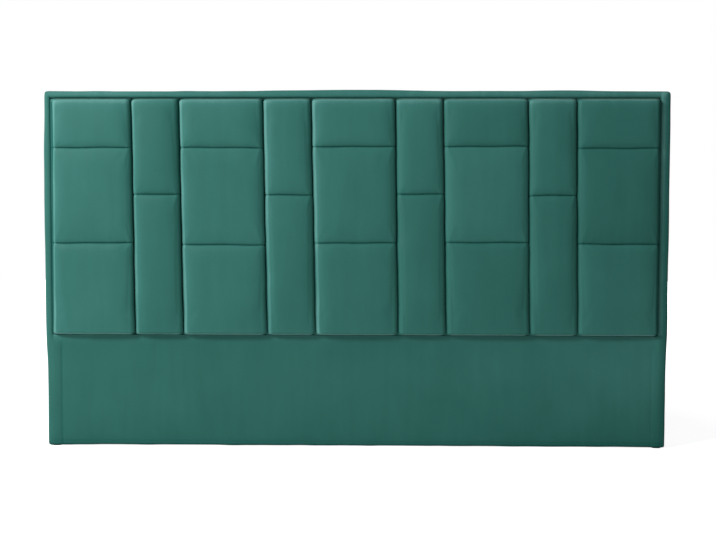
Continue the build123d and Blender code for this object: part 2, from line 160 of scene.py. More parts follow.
class Signal:
    """A socket's value, which takes part in plain arithmetic by adding Math nodes."""

    def __init__(self, tree, socket):
        self.tree = tree
        self.socket = socket

    def maths(self, operation, *values):
        return self.tree.node("ShaderNodeMath", dict(enumerate(values)), operation=operation)

    def __add__(self, other):
        return self.maths("ADD", self, other)

    def __sub__(self, other):
        return self.maths("SUBTRACT", self, other)

    def __rsub__(self, other):
        return self.maths("SUBTRACT", other, self)

    def __mul__(self, other):
        return self.maths("MULTIPLY", self, other)

    def __truediv__(self, other):
        return self.maths("DIVIDE", self, other)

    def __gt__(self, other):
        return self.maths("GREATER_THAN", self, other)

    def __abs__(self):
        return self.maths("ABSOLUTE", self)

    def clamped(self):
        """The value kept between 0 and 1."""
        return self.tree.node("ShaderNodeClamp", {0: self})

    def sine(self):
        return self.maths("SINE", self)

    def rounded(self):
        return self.maths("ROUND", self)

    __radd__ = __add__
    __rmul__ = __mul__


class Tree:
    """A node tree in the making."""

    def __init__(self, nodes, links):
        self.nodes = nodes
        self.links = links

    def node(self, kind, values=None, output=0, stops=None, **settings):
        """Adds a node: its settings first, then the values or links of its sockets."""
        added = self.nodes.new(kind)
        for name, value in settings.items():
            setattr(added, name, value)
        if stops:
            ramp = added.color_ramp.elements
            while len(ramp) < len(stops):
                ramp.new(0.5)
            for element, (place, colour) in zip(ramp, stops):
                element.position = place
                element.color = (*colour, 1)
        for name, value in (values or {}).items():
            if isinstance(value, Signal):
                self.links.new(value.socket, added.inputs[name])
            else:
                added.inputs[name].default_value = value
        return Signal(self, added.outputs[output]) if added.outputs else added


class Finish(Tree):
    """A material in the making, for one slot of the record."""

    def __init__(self, name):
        self.material = bpy.data.materials.new(name)
        self.material.use_nodes = True
        super().__init__(self.material.node_tree.nodes, self.material.node_tree.links)
        self.nodes.clear()
        self.place = self.node("ShaderNodeTexCoord", output=3)

    def stretched(self, scale, turn=(0, 0, 0)):
        """Object coordinates, turned and then scaled along each axis."""
        return self.node("ShaderNodeMapping", {0: self.place, 2: turn, 3: scale})

    def part(self, axis):
        """One of the object coordinates: 0, 1 or 2."""
        return self.node("ShaderNodeSeparateXYZ", {0: self.place}, output=axis)

    def noise(self, scale, detail=2.0, roughness=0.5, place=None, bend=0.0):
        values = {"Vector": place or self.place, "Scale": scale, "Detail": detail}
        values.update({"Roughness": roughness, "Distortion": bend})
        return self.node("ShaderNodeTexNoise", values)

    def blend(self, share, first, second):
        """A colour between two colours."""
        return self.node("ShaderNodeMix", {0: share, 6: first, 7: second}, output=2, data_type="RGBA")

    def ramp(self, value, stops):
        return self.node("ShaderNodeValToRGB", {0: value}, stops=stops)

    def bump(self, height, strength, distance, under=None):
        values = {"Height": height, "Strength": strength, "Distance": distance}
        if under:
            values["Normal"] = under
        return self.node("ShaderNodeBump", values)

    def shader(self, **values):
        """A Principled shader, with underscores for the spaces of its sockets' names."""
        named = {name.replace("_", " "): value for name, value in values.items()}
        return self.node("ShaderNodeBsdfPrincipled", named)

    def surface(self, **values):
        """The finished material, of one Principled shader."""
        self.node("ShaderNodeOutputMaterial", {0: self.shader(**values)})
        return self.material


# Finishes

def velvet_finish():
    """Short-pile velvet in blue green, brushed, with painted shade that mixes in a darker matt pile,
    and painted highlights raised in its colour.
    """
    velvet = Finish("green_velvet")
    # Painted shade at each point, from 0 to 1: in the seams, the grooves, the pocket, under the strips
    # and at the foot
    painted_shade = velvet.node("ShaderNodeAttribute", output=2, attribute_name="painted_shade")
    # Nap tone by patch, and painted highlights and painted light and shade that raise or lower the
    # tone
    nap_and_painted_light = velvet.node("ShaderNodeAttribute", output=2, attribute_name="nap_and_painted_light")
    cloud = velvet.noise(2.3, 2.0)
    brushed = velvet.noise(1.0, 3.0, 0.55, velvet.stretched((34, 34, 4.2), (0, 0.2, 0)))
    hand = velvet.noise(9.0, 3.0, 0.5, bend=0.6)
    pile = velvet.noise(1500.0, 1.0)
    tuft = velvet.noise(520.0, 2.0, 0.6)
    tone = nap_and_painted_light + 0.5 + 0.34 * (cloud - 0.5) + 0.24 * (brushed - 0.5) + 0.16 * (hand - 0.5)
    tone = (tone + 0.28 * (tuft - 0.5) + 0.20 * (pile - 0.5)).clamped()
    # The palest stop is reached mostly where painted highlights raise the tone
    colour = velvet.ramp(tone, [
        (0.25, (0.0160, 0.1060, 0.0860)),
        (0.50, (0.0240, 0.1340, 0.1110)),
        (0.75, (0.0360, 0.1650, 0.1420)),
        (1.00, (0.0950, 0.2700, 0.2420)),
    ])
    depth = velvet.bump(hand, 0.12, 0.004)
    depth = velvet.bump(tuft + 0.6 * pile, 0.30, 0.0006, depth)
    open_pile = velvet.shader(
        Base_Color=colour,
        Roughness=0.62 + 0.25 * (brushed - 0.5),
        Specular_IOR_Level=0.18,
        Sheen_Weight=0.9,
        Sheen_Roughness=0.28,
        Sheen_Tint=(0.58, 0.95, 0.87, 1),
        Normal=depth,
    )
    # Painted shade: a darker matt pile without sheen, mixed in by the painted shade value
    painted_shade_pile = velvet.shader(
        Base_Color=velvet.blend(0.85, colour, (0.0060, 0.0720, 0.0600, 1)),
        Roughness=0.9,
        Specular_IOR_Level=0.02,
        Normal=depth,
    )
    share = (painted_shade * 0.9).clamped()
    mixed = velvet.node("ShaderNodeMixShader", {0: share, 1: open_pile, 2: painted_shade_pile})
    velvet.node("ShaderNodeOutputMaterial", {0: mixed})
    return velvet.material


def timber_finish(name, run):
    """Planed softwood, with its grain along the given axis."""
    timber = Finish(name)
    stretch = [30.0, 30.0, 30.0]
    stretch[run] = 1.6
    along = timber.stretched(stretch)
    flow = timber.noise(1.0, 3.0, 0.5, along, 0.8)
    rings = (flow * 46.0).sine() * 0.5 + 0.5
    fibre_stretch = [900.0, 900.0, 900.0]
    fibre_stretch[run] = 24.0
    fibre = timber.noise(1.0, 2.0, 0.6, timber.stretched(fibre_stretch))
    patch = timber.noise(3.0, 2.0)
    tone = (0.62 * rings + 0.25 * fibre + 0.25 * patch - 0.05).clamped()
    colour = timber.ramp(tone, [
        (0.0, (0.60, 0.40, 0.21)),
        (0.55, (0.50, 0.30, 0.14)),
        (1.0, (0.36, 0.19, 0.075)),
    ])
    return timber.surface(
        Base_Color=colour,
        Roughness=0.55 + 0.2 * fibre,
        Normal=timber.bump(fibre + 0.4 * rings, 0.25, 0.0004),
    )


def plywood_finish():
    """Birch plywood: a calm veneer on the faces, and thin plies that show on the edges."""
    plywood = Finish("birch_plywood")
    depth = plywood.part(1)
    ply = (depth * (2 * math.pi / 0.0030)).sine() * 0.5 + 0.5
    veneer = plywood.noise(1.0, 3.0, 0.5, plywood.stretched((16, 16, 1.4)), 1.2)
    fibre = plywood.noise(1.0, 2.0, 0.6, plywood.stretched((700, 700, 30)))
    tone = (0.55 * veneer + 0.25 * fibre + 0.22 * ply).clamped()
    colour = plywood.ramp(tone, [
        (0.15, (0.66, 0.50, 0.31)),
        (0.50, (0.55, 0.38, 0.21)),
        (0.85, (0.38, 0.24, 0.12)),
    ])
    return plywood.surface(
        Base_Color=colour,
        Roughness=0.5 + 0.25 * fibre,
        Normal=plywood.bump(fibre, 0.2, 0.0003),
    )


def steel_finish(name, colour, dull, spangle):
    """Zinc-plated steel with a faint spangle and handling marks."""
    steel = Finish(name)
    crystal = steel.node("ShaderNodeTexVoronoi", {"Vector": steel.place, "Scale": spangle}, output=1)
    grey = steel.node("ShaderNodeRGBToBW", {0: crystal})
    mark = steel.noise(spangle * 1.7, 3.0, 0.6)
    tone = (0.45 + 0.35 * (grey - 0.5) + 0.4 * (mark - 0.5)).clamped()
    pale = tuple(min(1.0, c * 1.2) for c in colour)
    dark = tuple(c * 0.72 for c in colour)
    return steel.surface(
        Base_Color=steel.ramp(tone, [(0.2, dark), (0.5, colour), (0.8, pale)]),
        Metallic=1.0,
        Roughness=dull + 0.22 * (mark - 0.5) + 0.08 * grey,
        Normal=steel.bump(mark, 0.12, 0.0002),
    )


def dust_cloth_finish():
    """Thin black spunbond cloth, with its grid of pressed dots and stray fibres."""
    cloth = Finish("dust_cloth")
    step = 2 * math.pi / 0.0042
    across = (cloth.part(0) * step).sine()
    up = (cloth.part(2) * step).sine()
    dots = (across * up * 1.6 - 0.35).clamped()
    fibre = cloth.noise(1.0, 3.0, 0.65, cloth.stretched((1100, 1100, 240), (0, 0.5, 0)), 1.5)
    felt = cloth.noise(46.0, 3.0, 0.55, bend=0.8)
    cloud = cloth.noise(5.0, 2.0)
    tone = 0.5 + 0.45 * (fibre - 0.5) + 0.5 * (felt - 0.5) + 0.3 * (cloud - 0.5)
    tone = (tone - 0.22 * dots).clamped()
    colour = cloth.ramp(tone, [
        (0.2, (0.012, 0.012, 0.014)),
        (0.5, (0.026, 0.026, 0.029)),
        (0.8, (0.052, 0.052, 0.056)),
    ])
    depth = cloth.bump(fibre + 0.5 * felt - 0.9 * dots, 0.45, 0.0005)
    return cloth.surface(
        Base_Color=colour,
        Roughness=0.72 - 0.22 * dots + 0.1 * (fibre - 0.5),
        Sheen_Weight=0.25,
        Sheen_Roughness=0.5,
        Normal=depth,
    )


def glide_finish():
    """Moulded black plastic with a fine spark texture and a scuffed tone."""
    plastic = Finish("glide_plastic")
    spark = plastic.noise(2600.0, 2.0, 0.6)
    scuff = plastic.noise(1.0, 4.0, 0.6, plastic.stretched((90, 260, 60), (0, 0, 0.6)))
    tone = (0.5 + 0.7 * (scuff - 0.5) + 0.2 * (spark - 0.5)).clamped()
    colour = plastic.ramp(tone, [
        (0.3, (0.010, 0.010, 0.011)),
        (0.6, (0.018, 0.018, 0.019)),
        (0.9, (0.055, 0.055, 0.057)),
    ])
    return plastic.surface(
        Base_Color=colour,
        Roughness=0.42 + 0.3 * (scuff - 0.5),
        Normal=plastic.bump(spark, 0.25, 0.0002),
    )


# Covers in numbers

def rulings(low, high, step, marks=(), near=()):
    """Grid lines between two ends, with set lines beside each mark and even steps between."""
    fixed = {low, high}
    for mark in marks:
        beside = [mark + way * gap for gap in near for way in (-1, 1)]
        fixed.update(place for place in beside if low < place < high)
    fixed = sorted(fixed)
    lines = [fixed[0]]
    for start, stop in zip(fixed, fixed[1:]):
        count = max(1, round((stop - start) / step))
        lines += list(np.linspace(start, stop, count + 1)[1:])
    return np.array(lines)


def wander(seed, lengths, size):
    """A smooth random wave along one direction, made of a few lengths."""
    phases = np.random.default_rng(seed).uniform(0, 2 * math.pi, len(lengths))
    return lambda place: size * sum(
        np.sin(2 * math.pi * place / length + phase) for length, phase in zip(lengths, phases)
    ) / math.sqrt(len(lengths))


def ripples(seed, x, z, length, size, upright=1.0):
    """A smooth random relief: plane waves of about one length, drawn out upright."""
    chance = np.random.default_rng(seed)
    relief = np.zeros_like(x)
    for _ in range(9):
        angle = chance.uniform(0, 2 * math.pi)
        pace = 2 * math.pi / (length * chance.uniform(0.7, 1.6))
        relief += np.sin(
            pace * (np.cos(angle) * x + np.sin(angle) * z / upright) + chance.uniform(0, 2 * math.pi)
        )
    return size * relief / 3.0


def smooth(value, start, stop):
    """0 before start, 1 after stop, and an even turn between them."""
    share = np.clip((value - start) / (stop - start), 0.0, 1.0)
    return share * share * (3 - 2 * share)


def wrap_profile(shoulder, fall, turn, arcs, sides, turns):
    """Rings from the field's edge round to the back, in steps round the edge, down and inward.

    Each has its offset, its depth behind the front, its share of the side, its depth before the
    back, and its angle.
    """
    rings = []
    for angle in np.linspace(0, math.pi / 2, arcs + 1)[1:]:
        lean = math.atan2(fall * math.sin(angle), shoulder * math.cos(angle))
        rings.append((shoulder * math.sin(angle), fall * (1 - math.cos(angle)), 0, 0, lean))
    for share in np.linspace(0, 1, sides + 1)[1:]:
        rings.append((shoulder, fall, share, fold_round, math.pi / 2))
    for angle in (math.pi / 4, math.pi / 2):
        out = shoulder - fold_round * (1 - math.cos(angle))
        rings.append((out, 0, 1, fold_round * (1 - math.sin(angle)), math.pi / 2 + angle))
    for run in np.linspace(0, turn - fold_round, turns + 1)[1:]:
        rings.append((shoulder - fold_round - run, 0, 1, 0, math.pi))
    return np.array(rings)


# Angle in radians up to which a cover's rings face forward or sideways, not yet the back
just_past_square = 1.6


class Cover:
    """A fabric cover in numbers: a field of columns and rows, with mitred rings to the back.

    The rings reach less far up and down than to the sides where tall is under 1.
    """

    def __init__(self, columns, rows, rings, tall=1.0):
        across, up = np.meshgrid(columns, rows, indexing="ij")
        index = np.arange(across.size).reshape(across.shape)
        edge = np.concatenate([index[:-1, 0], index[-1, :-1], index[:0:-1, -1], index[0, :0:-1]])
        across, up = across.ravel(), up.ravel()
        side = 1 * (across[edge] == columns[-1]) - 1 * (across[edge] == columns[0])
        level = 1 * (up[edge] == rows[-1]) - 1 * (up[edge] == rows[0])
        still = np.zeros(across.size)
        count = len(rings)
        self.base_x = np.concatenate([across, np.tile(across[edge], count)])
        self.base_z = np.concatenate([up, np.tile(up[edge], count)])
        self.way_x = np.concatenate([still, np.tile(side, count)])
        self.way_z = np.concatenate([still, np.tile(level, count)])
        ring_values = np.repeat(rings, edge.size, axis=0).T
        self.out, self.lead, self.share, self.trail, self.angle = (
            np.concatenate([still, values]) for values in ring_values
        )
        self.forward = self.angle < just_past_square
        self.x = self.base_x + self.way_x * self.out
        self.z = self.base_z + self.way_z * self.out * tall
        corners = [index[:-1, :-1], index[1:, :-1], index[1:, 1:], index[:-1, 1:]]
        quads = [np.stack(corners, -1).reshape(-1, 4)]
        inner = edge
        for ring in range(count):
            outer = across.size + ring * edge.size + np.arange(edge.size)
            quads.append(np.stack([outer, np.roll(outer, -1), np.roll(inner, -1), inner], -1))
            inner = outer
        self.faces = np.concatenate(quads)
        size = np.maximum(np.hypot(self.way_x, self.way_z), 1)
        self.normal = np.stack([
            self.way_x * np.sin(self.angle) / size,
            -np.cos(self.angle),
            self.way_z * np.sin(self.angle) / size,
        ], -1)

    def depth(self, front, back):
        """Y of each point, from the front's own depth at the field and the depth of the back."""
        return (front + self.lead) * (1 - self.share) + (back - self.trail) * self.share


def add_piece(name, points, faces, material, attributes=None, levels=0):
    """A smooth mesh object at the origin, with named values at its points."""
    mesh = bpy.data.meshes.new(name)
    mesh.from_pydata([tuple(point) for point in points], [], [tuple(face) for face in faces])
    mesh.polygons.foreach_set("use_smooth", np.ones(len(mesh.polygons), bool))
    for key, values in (attributes or {}).items():
        mesh.attributes.new(key, "FLOAT", "POINT").data.foreach_set("value", values.astype(np.float32))
    mesh.materials.append(material)
    piece = bpy.data.objects.new(name, mesh)
    scene.collection.objects.link(piece)
    if levels:
        finer = piece.modifiers.new("finer", "SUBSURF")
        finer.levels = finer.render_levels = levels
    return piece


def points_of(mesh):
    """The places of a mesh's points."""
    places = np.empty(len(mesh.vertices) * 3, np.float32)
    mesh.vertices.foreach_get("co", places)
    return places.reshape(-1, 3).astype(float)


def inflated(covers, pressure=4.0, most=0.0025, frames=20):
    """How far each cover moves when it is blown up as cloth, held where it is sewn or turned under."""
    pieces = []
    for name, points, _, faces, held in covers:
        piece = add_piece(name, points, faces, None)
        group = piece.vertex_groups.new(name="held")
        group.add(np.flatnonzero(held).tolist(), 1.0, "REPLACE")
        cloth = piece.modifiers.new("cloth", "CLOTH")
        cloth.settings.quality = 6
        cloth.settings.mass = 0.3
        cloth.settings.tension_stiffness = 12
        cloth.settings.compression_stiffness = 12
        cloth.settings.shear_stiffness = 6
        cloth.settings.bending_stiffness = 0.8
        cloth.settings.use_pressure = True
        cloth.settings.uniform_pressure_force = pressure
        cloth.settings.vertex_group_mass = "held"
        cloth.settings.effector_weights.gravity = 0
        cloth.point_cache.frame_start = 1
        cloth.point_cache.frame_end = frames
        pieces.append(piece)
    for step in range(1, frames + 1):
        scene.frame_set(step)
    settled = bpy.context.evaluated_depsgraph_get()
    moves = []
    for piece, (_, points, normal, *_) in zip(pieces, covers):
        move = points_of(piece.evaluated_get(settled).data) - points
        swell = (move * normal).sum(1, keepdims=True)
        move = move - normal * np.minimum(swell, 0) * 0.8
        length = np.maximum(np.linalg.norm(move, axis=1, keepdims=True), 1e-9)
        moves.append(move * most * np.tanh(length / most) / length)
    for piece in pieces:
        bpy.data.objects.remove(piece)
    scene.frame_set(1)
    return moves


# Velvet strips

# Patches whose nap lies a little otherwise, by strip and by place from the bottom
brushed_patches = {
    (2, 0): -0.10, (2, 1): -0.12, (4, 0): -0.05, (6, 0): -0.06,
    (7, 0): -0.06, (7, 1): 0.09, (7, 2): -0.08, (9, 0): 0.05, (9, 1): -0.12, (9, 2): -0.08,
}

groove_waves = [wander(40 + n, (0.61, 0.27, 0.13), groove_wander) for n in range(10)]


def groove_place(number, z):
    """X of a groove at a height: it leans a little, and wanders by a millimetre."""
    lean = (z - groove_low) / (groove_high - groove_low)
    straight = groove_feet[number] + lean * (groove_tops[number] - groove_feet[number])
    return straight + groove_waves[number](z) * (0.5 if number in (0, 9) else 1.0)


def valley(distance, reach, depth):
    """Depth of a sewn valley: two rounded rolls that meet in a sharp line."""
    share = np.clip(1 - np.abs(distance) / reach, 0, 1)
    return depth * (1 - np.sqrt(1 - share * share))


def rounded_corner(x, z, half_x, half_z, radius):
    """Draws the corners of a flat outline round, the same amount on every ring."""
    p = np.clip((np.abs(x) - (half_x - radius)) / radius, 0, 2)
    q = np.clip((np.abs(z) - (half_z - radius)) / radius, 0, 2)
    both = (p > 0) & (q > 0)
    round_x = half_x - radius + radius * p * np.sqrt(1 - np.minimum(q, 1) ** 2 / 2)
    round_z = half_z - radius + radius * q * np.sqrt(1 - np.minimum(p, 1) ** 2 / 2)
    return np.where(both, np.sign(x) * round_x, x), np.where(both, np.sign(z) * round_z, z)


class Strip:
    """One padded strip: its cover in numbers, before and after it is blown up."""

    def __init__(self, number):
        self.number = number
        self.low, self.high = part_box(f"strip_cover_{number}")
        self.seams = wide_seams if number % 2 else narrow_seams
        self.stops = [self.low.z, *self.seams, self.high.z]
        self.middle = (self.low.x + self.high.x) / 2
        self.half = (self.high.x - self.low.x) / 2
        self.reach = self.half - strip_shoulder
        self.foot = self.low.z + strip_end
        self.top = self.high.z - strip_end
        ends = (-self.reach, self.reach)
        columns = rulings(*ends, strip_column_step, ends, (strip_rim_step, 0.0056))
        near = (0.0, 0.0010, 0.0024, 0.0044, 0.0072, 0.0110, 0.0160, 0.0220)
        rows = rulings(self.foot, self.top, strip_row_step, self.seams, near)
        rims = [self.foot + strip_rim_step, self.top - strip_rim_step]
        rows = np.unique(np.concatenate([rows, rims]))
        rings = wrap_profile(strip_shoulder, strip_fall, strip_turn, arcs=9, sides=4, turns=2)
        self.cover = cover = Cover(columns, rows, rings, strip_end / strip_shoulder)
        last = len(self.seams)
        self.patch = np.clip(np.searchsorted(self.stops, cover.base_z) - 1, 0, last)
        # 0 for strips left of the middle and 1 further right, where less light falls: their painted
        # highlights and painted shade are weaker
        self.farther_from_lamp = smooth(self.middle, 0.0, 0.25)
        from_foot = cover.base_z - np.take(self.stops, self.patch)
        self.to_top = np.take(self.stops, self.patch + 1) - cover.base_z
        in_side = self.reach - np.abs(cover.base_x)
        in_end = np.minimum(from_foot, self.to_top)
        crown = crown_height * (1 - np.exp(-in_side / crown_side_reach))
        crown *= 0.45 + 0.55 * (1 - np.exp(-in_end / crown_end_reach))
        self.soft = np.clip(1 - 0.75 * cover.angle / (math.pi / 2), 0.25, 1) * (1 - cover.share)
        self.gap = np.min([np.abs(cover.base_z - seam) for seam in self.seams], axis=0)
        points = np.stack([cover.x, cover.depth(strip_front - crown, pocket_floor), cover.z], -1)
        self.points = points - cover.normal * (self.soft * valley(self.gap, *first_valley))[:, None]
        self.held = (cover.share > 0.2) | (self.gap < stitch_width)

    def nap_and_painted_light(self):
        """How the pile is brushed by patch, with painted highlights on the lips at the left and the
        ends, below the top and the seams, along the left side and above the foot.
        """
        cover = self.cover
        field = cover.angle < 1
        lip = smooth(cover.angle, 0.15, 0.65)
        # Painted highlights on the lips at the top and, stronger, at the bottom
        end_lip_highlight = 0.22 * np.clip(cover.way_z, 0, 1) + 0.45 * np.clip(-cover.way_z, 0, 1)
        # Painted highlights below the top, below each seam and along the left side, the last weaker
        # further right
        top_highlight = 0.30 * np.exp(-(self.top - cover.base_z) / 0.014)
        seam_highlight = 0.14 * np.exp(-self.to_top / 0.005)
        left_highlight = (0.10 - 0.08 * self.farther_from_lamp) * np.exp(-(cover.base_x + self.reach) / 0.008)
        # Nap tone by patch, then the painted highlights
        nap_and_painted_light = np.array([brushed_patches.get((self.number, n), 0.0) for n in self.patch])
        # Painted highlight on the left-facing lips, where the light falls, weaker further right
        nap_and_painted_light += (0.34 - 0.30 * self.farther_from_lamp) * np.clip(-cover.way_x, 0, 1) * lip
        nap_and_painted_light += end_lip_highlight * (cover.way_x == 0) * lip
        nap_and_painted_light += left_highlight * field
        nap_and_painted_light += np.where(self.patch == len(self.seams), top_highlight, seam_highlight) * field
        # Painted highlight above the foot
        nap_and_painted_light += 0.07 * np.exp(-(cover.base_z - self.foot) / 0.008) * field
        return nap_and_painted_light

    def painted_shade(self):
        """Painted shade: along the seams, and on the walls of the grooves."""
        cover = self.cover
        # Painted shade along each seam's line
        seam = 0.6 * np.exp(-((self.gap / 0.0024) ** 2)) * np.clip(self.soft * 1.3, 0, 1)
        away = np.clip(cover.way_x, 0, 1)
        under = np.clip(-cover.way_z, 0, 1) * (1 - away)
        over = np.clip(cover.way_z, 0, 1) * (1 - away)
        # Painted shade on the walls: earlier on right-facing walls and most at strip 9, earlier on
        # strip 1's left wall, less on the bottom and top walls and on strips further right
        start = 1.20 - (0.85 if self.number == 9 else 0.25) * away + 0.20 * under
        start -= 0.35 * (self.number == 1) * np.clip(-cover.way_x, 0, 1)
        wall_shade = smooth(cover.angle, start, start + 0.30) * (1 - 0.35 * under - 0.80 * over)
        return np.maximum(seam, wall_shade * (1 - 0.15 * self.farther_from_lamp))

    def shaped(self, move):
        """The finished places: sewn and gathered, round at the corners, and leant at the grooves."""
        cover = self.cover
        seed = 100 * self.number
        end = np.minimum(cover.z - self.low.z, self.high.z - cover.z)
        points = self.points + move * smooth(end, 0.012, 0.11)[:, None]
        sewn = np.zeros(len(points))
        line = wander(seed + 1, (0.33, 0.15), seam_wander)
        for n, seam in enumerate(self.seams):
            gap = cover.base_z - seam
            sewn = np.maximum(sewn, valley(gap, *wide_valley) + valley(gap, *sharp_valley))
            bend = np.exp(-(gap / 0.03) ** 2) * cover.forward
            points[:, 2] += line(points[:, 0] + n) * bend
        gathers = ripples(seed + 2, points[:, 0], points[:, 2], gather_length, gather_height, 2.4)
        gathers *= np.exp(-self.gap / gather_reach)
        drape = ripples(seed + 3, points[:, 0], points[:, 2], drape_length, drape_height, 1.5)
        relief = self.soft * (sewn - gathers) - (cover.share == 0) * drape * (0.4 + 0.6 * self.soft)
        points -= cover.normal * relief[:, None]
        shifts = [0.0, *seam_shifts[self.number], 0.0]
        points[:, 2] += np.interp(cover.base_z, self.stops, shifts)
        tall = (self.high.z - self.low.z) / 2
        centre = (self.high.z + self.low.z) / 2
        forward = smooth(-points[:, 1], 0.038, 0.046)
        x, z = rounded_corner(points[:, 0], points[:, 2] - centre, self.half, tall, strip_corner)
        x = points[:, 0] * (1 - forward) + x * forward
        z = points[:, 2] * (1 - forward) + (z + centre) * forward
        left = groove_place(self.number - 1, z) + groove_mouth / 2
        right = groove_place(self.number, z) - groove_mouth / 2
        leant = left + (right - left) * (x / self.half + 1) / 2
        share = smooth(-points[:, 1], 0.032, 0.048)
        points[:, 0] = (self.middle + x) * (1 - share) + leant * share
        points[:, 2] = z - top_mouth * share * smooth(z, self.high.z - mouth_reach, self.high.z)
        points[:, 2] += foot_mouth * share * smooth(-z, -self.low.z - mouth_reach, -self.low.z)
        return points


def add_strips(velvet):
    """The nine velvet strips, which stand for the strips' covers and foams."""
    strips = [Strip(number) for number in range(1, 10)]
    covers = [(f"pillow_{s.number}", s.points, s.cover.normal, s.cover.faces, s.held) for s in strips]
    for strip, move in zip(strips, inflated(covers)):
        name, marks = f"velvet_strip_{strip.number}", {"painted_shade": strip.painted_shade(), "nap_and_painted_light": strip.nap_and_painted_light()}
        piece = add_piece(name, strip.shaped(move), strip.cover.faces, velvet, marks, levels=1)
        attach(piece, "root")
        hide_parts(f"strip_cover_{strip.number}", f"strip_foam_{strip.number}")


# Velvet base

def bead(distance, reach):
    """How far the border falls back at a distance from the pocket's edge."""
    near = np.clip(1 - distance / reach, 0, 1)
    return bead_fall * (1 - np.sqrt(1 - near ** 2))


def side_ridge(distance, centre, width, drop):
    """Depth behind the border's front: part of it falls over a soft ridge, the rest further in."""
    level = panel_front - border_front
    fall = 0.35 * level * smooth(distance, centre - width / 2, centre + width / 2)
    fall += 0.65 * level * smooth(distance, centre, 0.22)
    foot = centre + width / 2
    return fall + drop * np.exp(-((distance - foot) / 0.003) ** 2)


def base_front(x, z):
    """Y of the base's front: the border, the pocket behind the strips, and the panel below them."""
    outside = np.maximum.reduce([pocket_left - x, x - pocket_right, z - pocket_top])
    sides = [bead(pocket_left - x, left_bead), bead(x - pocket_right, right_bead)]
    fall = np.minimum.reduce([*sides, bead(z - pocket_top, top_bead)])
    roll = right_roll * np.clip((x - 0.972) / 0.020, 0, 1) ** 1.5
    roof = top_roll * np.clip((z - 1.130) / 0.010, 0, 1) ** 1.5
    upper = np.where(outside > 0, border_front + fall + np.maximum(roll, roof), pocket_floor)
    below = smooth(pocket_low - z, 0.002, 0.045)
    left = side_ridge(half_width + x, 0.016 + 0.015 * below, 0.008 + 0.022 * below, 0.0010 * below)
    lower = smooth(pocket_low - z, 0.028, 0.07)
    right = side_ridge(half_width - x, 0.0305, 0.020 + 0.012 * lower, 0.0002)
    panel = border_front + np.where(x < 0, left, right + roll)
    u, v = np.abs(x / 0.96), np.abs((z - 0.185) / 0.18)
    bulge = panel_bulge * np.clip(1 - u ** 6, 0, 1) * np.clip(1 - v ** 4, 0, 1)
    panel = panel - bulge * (np.abs(x) < 0.95)
    hem = hem_ridge * np.exp(-((z - hem_height) / 0.0017) ** 2)
    return np.where(z > pocket_low, upper, panel + hem)


